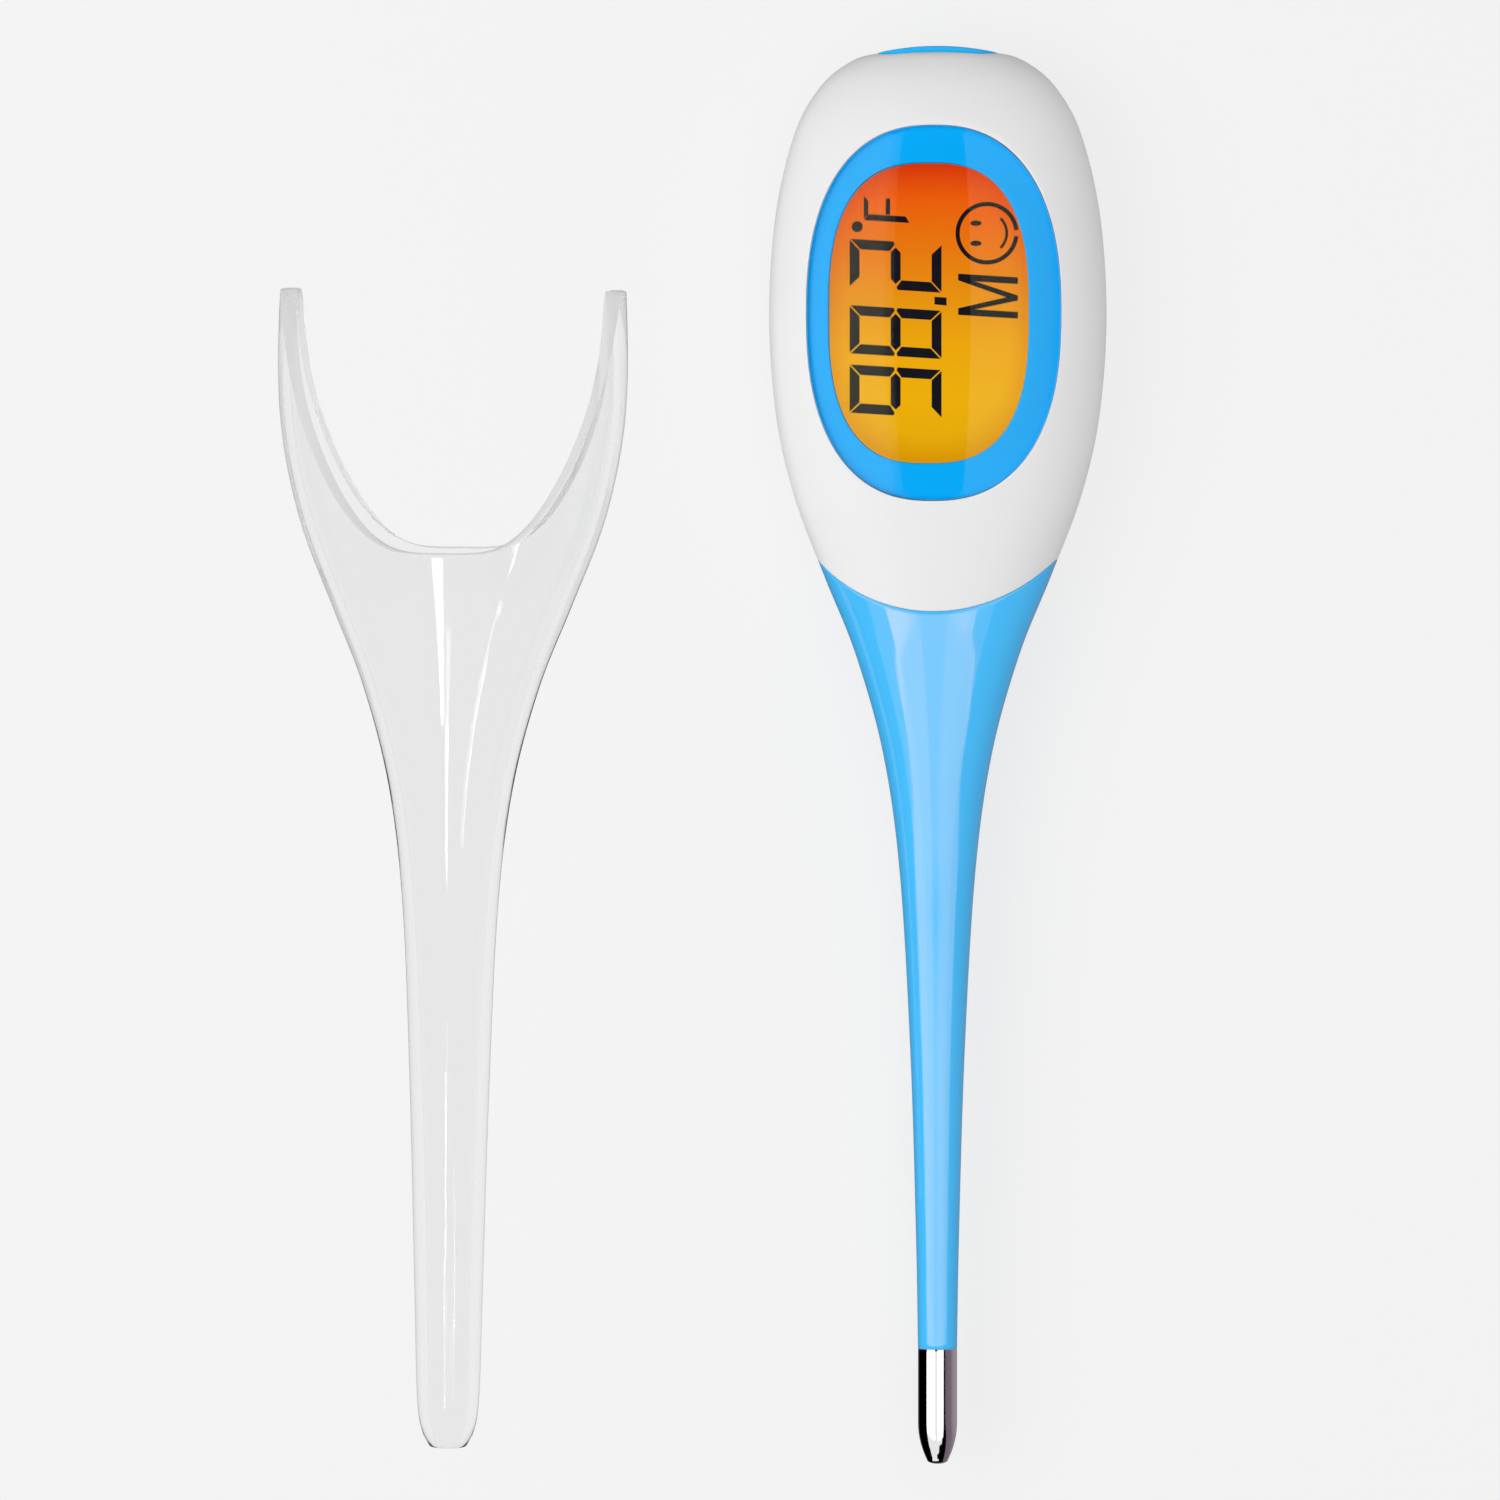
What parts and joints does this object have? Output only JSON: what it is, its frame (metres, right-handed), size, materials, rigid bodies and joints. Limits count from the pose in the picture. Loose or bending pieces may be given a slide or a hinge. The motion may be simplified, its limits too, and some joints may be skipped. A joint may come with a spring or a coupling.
{
  "type": "digital thermometer",
  "caption": "Digital clinical thermometer with a wide backlit display head, a slim tapered probe, an end push button, a coin-turn battery cover and a clear scooped cap beside it.",
  "frame": {"origin": "centre of the flat on the back of the head, which the thermometer lies on, under the middle of the display", "axes": "+Z out of the display, +Y along the thermometer towards the power button, +X to its right; the probe points to -Y and the cap lies at -X"},
  "size_m": [0.0828, 0.1415, 0.0164],
  "materials": {
    "white_case": "satin gloss moulded ABS",
    "blue_plastic": "glossy moulded ABS",
    "steel_tip": "polished stainless steel",
    "clear_window": "clear acrylic",
    "clear_cap": "clear moulded plastic",
    "grey_foam": "soft foam",
    "black_rubber": "smooth rubber",
    "lcd": "backlit display, red-orange to yellow",
    "white_inner": "matt",
    "acrylic": "clear acrylic",
    "led": "moulded lamp",
    "pink_rubber": "striped silicone",
    "green_board": "solder mask",
    "screw_steel": "zinc plated",
    "chip_black": "moulded",
    "chip_tan": "fired",
    "brass_disc": "rolled",
    "piezo_white": "silvered",
    "switch_metal": "stamped",
    "cell_steel": "nickel plated",
    "contact_metal": "gold flashed spring strip",
    "wire_red": "enamelled wire",
    "epoxy": "filled epoxy"
  },
  "bodies": {
    "body": {"front_shell": "white_case", "rear_shell": "white_case", "probe_stem": "blue_plastic", "metal_tip": "steel_tip", "display_window": "clear_window", "window_border": "blue_plastic", "window_gasket": "grey_foam", "lcd_panel": "lcd", "lcd_frame": "white_inner", "backlight_diffuser": "white_inner", "backlight_guide": "acrylic", "backlight_leds": "led", "zebra_strip": "pink_rubber", "circuit_board": "green_board", "board_screws": "screw_steel", "controller_chip": "chip_black", "board_components": "chip_tan", "piezo_disc": "brass_disc", "piezo_ceramic": "piezo_white", "tact_switch": "switch_metal", "button_seal": "grey_foam", "battery_cell": "cell_steel", "positive_contact": "contact_metal", "negative_contact": "contact_metal", "cover_seal": "black_rubber", "thermistor": "chip_black", "thermistor_leads": "wire_red", "tip_filler": "epoxy"},
    "plunger": {"switch_plunger": "chip_black"},
    "button": {"power_button": "blue_plastic"},
    "cover": {"battery_cover": "white_case"},
    "cap": {"protective_cap": "clear_cap"}
  },
  "joints": [
    {"name": "button_press", "type": "slide", "parent": "body", "child": "button", "axis": [0, -1, 0], "range_m": [0, 0.0005], "stiffness_N_per_m": 2500},
    {"name": "plunger_press", "type": "slide", "parent": "body", "child": "plunger", "axis": [0, -1, 0], "range_m": [0, 0.0005]},
    {"name": "cover_unlock", "type": "hinge", "parent": "body", "child": "cover", "pos_m": [0, 0, 0.0008], "axis": [0, 0, -1], "range_deg": [0, 40]},
    {"name": "cap_pull", "type": "slide", "parent": "body", "child": "cap", "axis": [0, -1, 0], "range_m": [0, 0.115]}
  ],
  "couplings": [
    {"joint": "plunger_press", "follows": "button_press", "ratio": 1}
  ]
}
